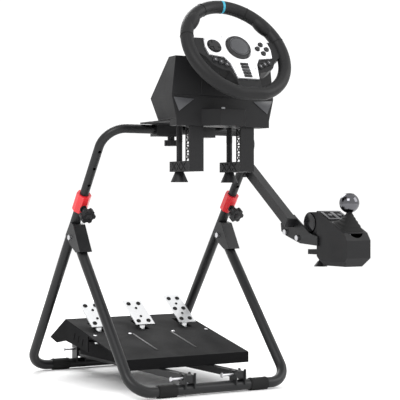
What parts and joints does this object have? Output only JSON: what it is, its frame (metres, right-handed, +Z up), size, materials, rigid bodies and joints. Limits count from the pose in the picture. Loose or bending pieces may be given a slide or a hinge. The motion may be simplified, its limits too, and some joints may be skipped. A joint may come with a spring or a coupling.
{
  "type": "sim racing wheel stand",
  "caption": "Sim-racing rig: steering wheel with buttons on a clamped base, folding tube stand, three pedals and a gear shifter on a side arm.",
  "frame": {"origin": "on the floor, midway between the two floor bars", "axes": "+X to the driver's right, +Y away from the driver, +Z up"},
  "size_m": [0.559, 0.7813, 0.9164],
  "materials": {
    "frame_black": "satin",
    "collar_red": "satin",
    "foot_rubber": "matte",
    "zinc": "brushed",
    "knob_black": "matte",
    "shell_black": "matte",
    "grip_black": "matte",
    "plate_silver": "satin",
    "hub_gloss": "gloss",
    "key_grey": "satin",
    "pedal_metal": "brushed",
    "ball_dark": "polished"
  },
  "bodies": {
    "front_frame": {"front_hoop": "frame_black", "front_feet": "foot_rubber", "lock_collars": "collar_red", "hinge_channels": "frame_black", "hinge_bolts": "zinc"},
    "rear_frame": {"rear_hoop": "frame_black", "rear_feet": "foot_rubber"},
    "upper_frame": {"top_hoop": "frame_black", "side_arm": "frame_black", "arm_bolts": "zinc", "shifter_shell": "shell_black"},
    "deck": {"deck_plate": "frame_black", "base_front_shell": "shell_black", "base_rear_shell": "shell_black", "clamp_arms": "shell_black", "shaft_bearings": "zinc"},
    "steering_wheel": {"wheel_rim": "grip_black", "spoke_plate": "plate_silver", "wheel_casing": "shell_black", "hub_cap": "hub_gloss", "steering_shaft": "zinc"},
    "pedal_rack": {"rack_rails": "frame_black", "rack_pins": "zinc", "pedal_base": "frame_black"},
    "shift_lever": {"shift_lever": "ball_dark", "shifter_boot": "foot_rubber"},
    "base_switch": {"base_switch": "key_grey"},
    "brake_pedal": {"brake_pedal": "pedal_metal"},
    "clamp_pad_left": {"clamp_pad_left": "foot_rubber"},
    "clamp_pad_right": {"clamp_pad_right": "foot_rubber"},
    "clamp_screw_left": {"clamp_screw_left": "knob_black"},
    "clamp_screw_right": {"clamp_screw_right": "knob_black"},
    "clutch_pedal": {"clutch_pedal": "pedal_metal"},
    "direction_pad": {"direction_pad": "hub_gloss"},
    "face_button_bottom": {"face_button_bottom": "hub_gloss"},
    "face_button_left": {"face_button_left": "hub_gloss"},
    "face_button_right": {"face_button_right": "hub_gloss"},
    "face_button_top": {"face_button_top": "hub_gloss"},
    "lock_knob_left": {"lock_knob_left": "knob_black"},
    "lock_knob_right": {"lock_knob_right": "knob_black"},
    "menu_key_1": {"menu_key_1": "hub_gloss"},
    "menu_key_2": {"menu_key_2": "hub_gloss"},
    "menu_key_3": {"menu_key_3": "hub_gloss"},
    "menu_key_4": {"menu_key_4": "hub_gloss"},
    "menu_key_5": {"menu_key_5": "hub_gloss"},
    "paddle_left": {"paddle_left": "pedal_metal"},
    "paddle_right": {"paddle_right": "pedal_metal"},
    "pod_key_left_1": {"pod_key_left_1": "key_grey"},
    "pod_key_left_2": {"pod_key_left_2": "key_grey"},
    "pod_key_left_3": {"pod_key_left_3": "key_grey"},
    "pod_key_right_1": {"pod_key_right_1": "key_grey"},
    "pod_key_right_2": {"pod_key_right_2": "key_grey"},
    "pod_key_right_3": {"pod_key_right_3": "key_grey"},
    "shift_key_left": {"shift_key_left": "key_grey"},
    "shift_key_right": {"shift_key_right": "key_grey"},
    "shifter_gimbal": {"shifter_gimbal": "knob_black"},
    "shifter_pad": {"shifter_pad": "foot_rubber"},
    "shifter_screw": {"shifter_screw": "knob_black"},
    "throttle_pedal": {"throttle_pedal": "pedal_metal"},
    "tilt_knob": {"tilt_knob": "knob_black"}
  },
  "joints": [
    {"name": "rear_fold", "type": "hinge", "parent": "front_frame", "child": "rear_frame", "pos_m": [0, 0.00553, 0.362], "axis": [1, 0, 0], "range_deg": [0, 72]},
    {"name": "rack_swing", "type": "hinge", "parent": "front_frame", "child": "pedal_rack", "pos_m": [0, 0.2922, 0.052], "axis": [1, 0, 0], "range_deg": [-50.4, 0]},
    {"name": "height_slide", "type": "slide", "parent": "front_frame", "child": "upper_frame", "axis": [0, -0.5892, 0.808], "range_m": [-0.049, 0.049]},
    {"name": "lock_turn_left", "type": "hinge", "parent": "front_frame", "child": "lock_knob_left", "pos_m": [-0.2125, -0.02007, 0.44294], "axis": [0, -0.808, -0.5892], "range_deg": [-720, 0]},
    {"name": "lock_turn_right", "type": "hinge", "parent": "front_frame", "child": "lock_knob_right", "pos_m": [0.2125, -0.02007, 0.44294], "axis": [0, -0.808, -0.5892], "range_deg": [-720, 0]},
    {"name": "deck_tilt", "type": "hinge", "parent": "upper_frame", "child": "deck", "pos_m": [0, -0.15217, 0.62409], "axis": [1, 0, 0], "range_deg": [-15, 20]},
    {"name": "tilt_knob_turn", "type": "hinge", "parent": "deck", "child": "tilt_knob", "pos_m": [-0.034, -0.15217, 0.62409], "axis": [0, 0, 1], "range_deg": [-720, 0]},
    {"name": "clamp_pad_slide_left", "type": "slide", "parent": "deck", "child": "clamp_pad_left", "axis": [0, 0, 1], "range_m": [-0.045, 0]},
    {"name": "clamp_screw_turn_left", "type": "hinge", "parent": "clamp_pad_left", "child": "clamp_screw_left", "pos_m": [-0.069, -0.254, 0.63599], "axis": [0, 0, 1], "range_deg": [-5401, 0]},
    {"name": "clamp_pad_slide_right", "type": "slide", "parent": "deck", "child": "clamp_pad_right", "axis": [0, 0, 1], "range_m": [-0.045, 0]},
    {"name": "clamp_screw_turn_right", "type": "hinge", "parent": "clamp_pad_right", "child": "clamp_screw_right", "pos_m": [0.069, -0.254, 0.63599], "axis": [0, 0, 1], "range_deg": [-5401, 0]},
    {"name": "base_switch_press", "type": "slide", "parent": "deck", "child": "base_switch", "axis": [0, 0, -1], "range_m": [0, 0.0015], "stiffness_N_per_m": 300, "springref_m": -0.002},
    {"name": "wheel_turn", "type": "hinge", "parent": "deck", "child": "steering_wheel", "pos_m": [0, -0.395, 0.7955], "axis": [0, -0.848, 0.5299], "range_deg": [-450, 450]},
    {"name": "paddle_pull_left", "type": "hinge", "parent": "steering_wheel", "child": "paddle_left", "pos_m": [-0.038, -0.3721, 0.78119], "axis": [0, 0.5299, 0.848], "range_deg": [0, 3.4], "stiffness_Nm_per_rad": 1, "springref_deg": -8.59},
    {"name": "paddle_pull_right", "type": "hinge", "parent": "steering_wheel", "child": "paddle_right", "pos_m": [0.038, -0.3721, 0.78119], "axis": [0, -0.5299, -0.848], "range_deg": [0, 3.4], "stiffness_Nm_per_rad": 1, "springref_deg": -8.59},
    {"name": "direction_pad_rock", "type": "hinge", "parent": "steering_wheel", "child": "direction_pad", "pos_m": [-0.064, -0.3967, 0.79656], "axis": [0, 0.5299, 0.848], "range_deg": [-3, 3], "stiffness_Nm_per_rad": 0.5},
    {"name": "face_press_top", "type": "slide", "parent": "steering_wheel", "child": "face_button_top", "axis": [0, 0.848, -0.5299], "range_m": [0, 0.0015], "stiffness_N_per_m": 300, "springref_m": -0.002},
    {"name": "face_press_bottom", "type": "slide", "parent": "steering_wheel", "child": "face_button_bottom", "axis": [0, 0.848, -0.5299], "range_m": [0, 0.0015], "stiffness_N_per_m": 300, "springref_m": -0.002},
    {"name": "face_press_left", "type": "slide", "parent": "steering_wheel", "child": "face_button_left", "axis": [0, 0.848, -0.5299], "range_m": [0, 0.0015], "stiffness_N_per_m": 300, "springref_m": -0.002},
    {"name": "face_press_right", "type": "slide", "parent": "steering_wheel", "child": "face_button_right", "axis": [0, 0.848, -0.5299], "range_m": [0, 0.0015], "stiffness_N_per_m": 300, "springref_m": -0.002},
    {"name": "pod_press_left_1", "type": "slide", "parent": "steering_wheel", "child": "pod_key_left_1", "axis": [0, 0.848, -0.5299], "range_m": [0, 0.0015], "stiffness_N_per_m": 300, "springref_m": -0.002},
    {"name": "pod_press_left_2", "type": "slide", "parent": "steering_wheel", "child": "pod_key_left_2", "axis": [0, 0.848, -0.5299], "range_m": [0, 0.0015], "stiffness_N_per_m": 300, "springref_m": -0.002},
    {"name": "pod_press_left_3", "type": "slide", "parent": "steering_wheel", "child": "pod_key_left_3", "axis": [0, 0.848, -0.5299], "range_m": [0, 0.0015], "stiffness_N_per_m": 300, "springref_m": -0.002},
    {"name": "pod_press_right_1", "type": "slide", "parent": "steering_wheel", "child": "pod_key_right_1", "axis": [0, 0.848, -0.5299], "range_m": [0, 0.0015], "stiffness_N_per_m": 300, "springref_m": -0.002},
    {"name": "pod_press_right_2", "type": "slide", "parent": "steering_wheel", "child": "pod_key_right_2", "axis": [0, 0.848, -0.5299], "range_m": [0, 0.0015], "stiffness_N_per_m": 300, "springref_m": -0.002},
    {"name": "pod_press_right_3", "type": "slide", "parent": "steering_wheel", "child": "pod_key_right_3", "axis": [0, 0.848, -0.5299], "range_m": [0, 0.0015], "stiffness_N_per_m": 300, "springref_m": -0.002},
    {"name": "menu_press_1", "type": "slide", "parent": "steering_wheel", "child": "menu_key_1", "axis": [0, 0.848, -0.5299], "range_m": [0, 0.001], "stiffness_N_per_m": 300, "springref_m": -0.002},
    {"name": "menu_press_2", "type": "slide", "parent": "steering_wheel", "child": "menu_key_2", "axis": [0, 0.848, -0.5299], "range_m": [0, 0.001], "stiffness_N_per_m": 300, "springref_m": -0.002},
    {"name": "menu_press_3", "type": "slide", "parent": "steering_wheel", "child": "menu_key_3", "axis": [0, 0.848, -0.5299], "range_m": [0, 0.001], "stiffness_N_per_m": 300, "springref_m": -0.002},
    {"name": "menu_press_4", "type": "slide", "parent": "steering_wheel", "child": "menu_key_4", "axis": [0, 0.848, -0.5299], "range_m": [0, 0.001], "stiffness_N_per_m": 300, "springref_m": -0.002},
    {"name": "menu_press_5", "type": "slide", "parent": "steering_wheel", "child": "menu_key_5", "axis": [0, 0.848, -0.5299], "range_m": [0, 0.001], "stiffness_N_per_m": 300, "springref_m": -0.002},
    {"name": "clutch_press", "type": "hinge", "parent": "pedal_rack", "child": "clutch_pedal", "pos_m": [-0.125, 0.062, 0.098], "axis": [1, 0, 0], "range_deg": [-18, 0], "stiffness_Nm_per_rad": 8, "springref_deg": 5.73},
    {"name": "brake_press", "type": "hinge", "parent": "pedal_rack", "child": "brake_pedal", "pos_m": [0, 0.062, 0.098], "axis": [1, 0, 0], "range_deg": [-18, 0], "stiffness_Nm_per_rad": 20, "springref_deg": 5.73},
    {"name": "throttle_press", "type": "hinge", "parent": "pedal_rack", "child": "throttle_pedal", "pos_m": [0.125, 0.062, 0.098], "axis": [1, 0, 0], "range_deg": [-18, 0], "stiffness_Nm_per_rad": 5, "springref_deg": 5.73},
    {"name": "shifter_sideways", "type": "hinge", "parent": "upper_frame", "child": "shifter_gimbal", "pos_m": [0.29, -0.436, 0.345], "axis": [0, 1, 0], "range_deg": [-6, 6], "stiffness_Nm_per_rad": 4},
    {"name": "shifter_gear", "type": "hinge", "parent": "shifter_gimbal", "child": "shift_lever", "pos_m": [0.29, -0.436, 0.345], "axis": [1, 0, 0], "range_deg": [-9, 9]},
    {"name": "shift_key_press_left", "type": "slide", "parent": "upper_frame", "child": "shift_key_left", "axis": [0, 0.432, -0.9019], "range_m": [0, 0.0015], "stiffness_N_per_m": 300, "springref_m": -0.002},
    {"name": "shift_key_press_right", "type": "slide", "parent": "upper_frame", "child": "shift_key_right", "axis": [0, 0.432, -0.9019], "range_m": [0, 0.0015], "stiffness_N_per_m": 300, "springref_m": -0.002},
    {"name": "shifter_pad_slide", "type": "slide", "parent": "upper_frame", "child": "shifter_pad", "axis": [0, 0, 1], "range_m": [-0.02, 0]},
    {"name": "shifter_screw_turn", "type": "hinge", "parent": "shifter_pad", "child": "shifter_screw", "pos_m": [0.29, -0.321, 0.364], "axis": [0, 0, 1], "range_deg": [-4801, 0]}
  ],
  "couplings": [
    {"joint": "clamp_screw_turn_left", "follows": "clamp_pad_slide_left", "rad_per_m": 2094.4},
    {"joint": "clamp_screw_turn_right", "follows": "clamp_pad_slide_right", "rad_per_m": 2094.4},
    {"joint": "rack_swing", "follows": "rear_fold", "ratio": -0.7},
    {"joint": "shifter_screw_turn", "follows": "shifter_pad_slide", "rad_per_m": 4188.8}
  ]
}
